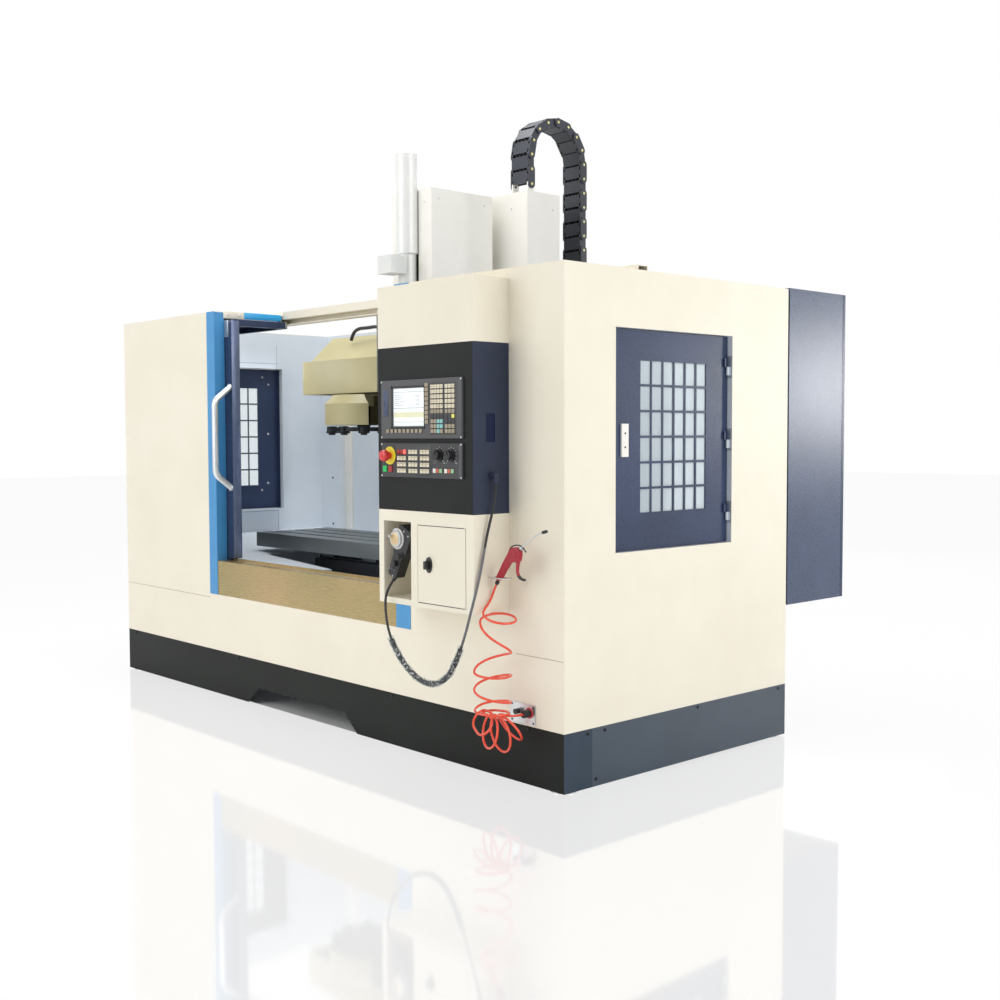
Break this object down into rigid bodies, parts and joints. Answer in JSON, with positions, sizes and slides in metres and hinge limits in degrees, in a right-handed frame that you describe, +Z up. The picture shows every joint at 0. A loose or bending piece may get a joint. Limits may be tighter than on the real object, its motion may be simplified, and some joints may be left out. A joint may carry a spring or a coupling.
{
  "type": "cnc machining center",
  "caption": "Vertical machining center in a sheet-metal enclosure with sliding front doors, table, spindle head, tool magazine, swing console, cable chain and coiled air hose.",
  "frame": {"origin": "on the floor under the middle of the machine's bounding box, hose and cable left out", "axes": "+X to the operator's right along the enclosure's length, +Y to the back, +Z up"},
  "size_m": [3.03, 1.8103, 2.5608],
  "materials": {
    "cast_grey": "painted",
    "dark_plinth": "satin powder coat",
    "cream_sheet": "fine textured powder coat",
    "blue_trim": "satin",
    "slate_door": "fine textured powder coat",
    "stainless": "brushed",
    "bare_steel": "ground",
    "light_grey_sheet": "satin",
    "console_dark": "textured",
    "panel_face": "textured",
    "black_plastic": "matt",
    "chain_plastic": "matt",
    "clear_glass": "clear",
    "red_plastic": "gloss",
    "green_plastic": "gloss",
    "gun_red": "gloss",
    "hose_red": "gloss",
    "cable_black": "matt",
    "foot_steel": "zinc plated",
    "tool_black": "blackened"
  },
  "bodies": {
    "machine": {"bed": "cast_grey", "levelling_feet": "foot_steel", "column": "cast_grey", "linear_rails": "bare_steel", "axis_motors": "black_plastic", "plinth_front": "dark_plinth", "plinth_frame": "dark_plinth", "lower_front_panel": "cream_sheet", "sill_apron": "stainless", "left_front_cover": "cream_sheet", "right_front_cover": "cream_sheet", "opening_trims": "blue_trim", "top_beam": "cream_sheet", "left_side_wall": "cream_sheet", "right_side_wall": "cream_sheet", "rear_wall": "light_grey_sheet", "chip_tray": "light_grey_sheet", "tool_housing": "cream_sheet", "tool_carriage": "cream_sheet", "console_box": "console_dark", "console_top_box": "cream_sheet", "operator_panel": "panel_face", "control_panel": "panel_face", "pendant_cabinet": "cream_sheet", "pendant_body": "black_plastic", "pendant_cable": "cable_black", "air_gun": "gun_red", "air_hose": "hose_red", "air_hose_coil": "hose_red", "air_port": "foot_steel", "electrical_cabinet": "slate_door", "cable_chain": "chain_plastic"},
    "left_sliding_door": {"left_door": "slate_door", "left_glass": "clear_glass"},
    "right_sliding_door": {"right_door": "slate_door", "right_glass": "clear_glass"},
    "left_service_door": {"left_service_door": "slate_door"},
    "right_service_door": {"right_service_door": "slate_door"},
    "electrical_door": {"electrical_door": "slate_door"},
    "tool_cabinet_door": {"tool_cabinet_door": "cream_sheet"},
    "cabinet_knob": {"cabinet_knob": "black_plastic"},
    "e_stop_button": {"e_stop_button": "red_plastic"},
    "start_button": {"start_button": "green_plastic"},
    "hold_button": {"hold_button": "red_plastic"},
    "feed_knob": {"feed_knob": "black_plastic"},
    "speed_knob": {"speed_knob": "black_plastic"},
    "pendant_wheel": {"pendant_wheel": "bare_steel"},
    "axis_selector": {"axis_selector": "black_plastic"},
    "gun_trigger": {"gun_trigger": "gun_red"},
    "saddle": {"saddle": "cast_grey"},
    "table": {"table": "cast_grey"},
    "x_screw": {"x_screw": "bare_steel"},
    "y_screw": {"y_screw": "bare_steel"},
    "z_screw": {"z_screw": "bare_steel"},
    "head": {"head": "cast_grey", "head_cover": "cream_sheet", "carriage_cover": "cream_sheet", "drawbar_cylinder": "cream_sheet"},
    "spindle": {"spindle": "bare_steel"},
    "tool_disc": {"tool_disc": "tool_black"}
  },
  "joints": [
    {"name": "left_door_slide", "type": "slide", "parent": "machine", "child": "left_sliding_door", "axis": [1, 0, 0], "range_m": [0, 0.5885]},
    {"name": "right_door_slide", "type": "slide", "parent": "machine", "child": "right_sliding_door", "axis": [-1, 0, 0], "range_m": [0, 0.5885]},
    {"name": "left_service_hinge", "type": "hinge", "parent": "machine", "child": "left_service_door", "pos_m": [-1.502, 0.1525, 1.135], "axis": [0, 0, -1], "range_deg": [0, 100]},
    {"name": "right_service_hinge", "type": "hinge", "parent": "machine", "child": "right_service_door", "pos_m": [1.502, 0.1525, 1.135], "axis": [0, 0, 1], "range_deg": [0, 100]},
    {"name": "electrical_door_hinge", "type": "hinge", "parent": "machine", "child": "electrical_door", "pos_m": [0.808, 0.8855, 1.1], "axis": [0, 0, 1], "range_deg": [0, 120]},
    {"name": "cabinet_door_hinge", "type": "hinge", "parent": "machine", "child": "tool_cabinet_door", "pos_m": [1.213, -0.8495, 0.718], "axis": [0, 0, 1], "range_deg": [0, 95]},
    {"name": "cabinet_knob_turn", "type": "hinge", "parent": "tool_cabinet_door", "child": "cabinet_knob", "pos_m": [1.033, -0.8555, 0.718], "axis": [0, 1, 0], "range_deg": [0, 90]},
    {"name": "e_stop_press", "type": "slide", "parent": "machine", "child": "e_stop_button", "axis": [0, 1, 0], "range_m": [0, 0.004]},
    {"name": "start_press", "type": "slide", "parent": "machine", "child": "start_button", "axis": [0, 1, 0], "range_m": [0, 0.002], "stiffness_N_per_m": 400},
    {"name": "hold_press", "type": "slide", "parent": "machine", "child": "hold_button", "axis": [0, 1, 0], "range_m": [0, 0.002], "stiffness_N_per_m": 400},
    {"name": "feed_override_turn", "type": "hinge", "parent": "machine", "child": "feed_knob", "pos_m": [1.098, -0.8635, 1.088], "axis": [0, 1, 0], "range_deg": [-135, 135]},
    {"name": "speed_override_turn", "type": "hinge", "parent": "machine", "child": "speed_knob", "pos_m": [1.159, -0.8635, 1.088], "axis": [0, 1, 0], "range_deg": [-135, 135]},
    {"name": "pendant_wheel_turn", "type": "hinge", "parent": "machine", "child": "pendant_wheel", "pos_m": [0.845, -0.8455, 0.795], "axis": [0, 1, 0], "continuous": true},
    {"name": "axis_selector_turn", "type": "hinge", "parent": "machine", "child": "axis_selector", "pos_m": [0.836, -0.8455, 0.708], "axis": [0, 1, 0], "range_deg": [-60, 60]},
    {"name": "gun_trigger_pull", "type": "hinge", "parent": "machine", "child": "gun_trigger", "pos_m": [1.38191, -0.7795, 0.76092], "axis": [0, 1, 0], "range_deg": [0, 12], "stiffness_Nm_per_rad": 1, "springref_deg": -5.73},
    {"name": "y_axis", "type": "slide", "parent": "machine", "child": "saddle", "axis": [0, 1, 0], "range_m": [-0.125, 0.215]},
    {"name": "x_axis", "type": "slide", "parent": "saddle", "child": "table", "axis": [1, 0, 0], "range_m": [-0.033, 0.667]},
    {"name": "z_axis", "type": "slide", "parent": "machine", "child": "head", "axis": [0, 0, 1], "range_m": [-0.4, 0], "deforming": ["cable_chain"]},
    {"name": "x_screw_turn", "type": "hinge", "parent": "saddle", "child": "x_screw", "pos_m": [0, -0.0895, 0.588], "axis": [1, 0, 0], "continuous": true},
    {"name": "y_screw_turn", "type": "hinge", "parent": "machine", "child": "y_screw", "pos_m": [0, 0.0005, 0.405], "axis": [0, 1, 0], "continuous": true},
    {"name": "z_screw_turn", "type": "hinge", "parent": "machine", "child": "z_screw", "pos_m": [0, 0.5505, 1.4], "axis": [0, 0, 1], "continuous": true},
    {"name": "spindle_turn", "type": "hinge", "parent": "head", "child": "spindle", "pos_m": [0, -0.1245, 1.3], "axis": [0, 0, 1], "continuous": true},
    {"name": "tool_disc_turn", "type": "hinge", "parent": "machine", "child": "tool_disc", "pos_m": [-0.327, -0.1245, 1.181], "axis": [0, 0, 1], "continuous": true}
  ],
  "couplings": [
    {"joint": "x_screw_turn", "follows": "x_axis", "rad_per_m": 628.32},
    {"joint": "y_screw_turn", "follows": "y_axis", "rad_per_m": 628.32},
    {"joint": "z_screw_turn", "follows": "z_axis", "rad_per_m": 628.32}
  ]
}
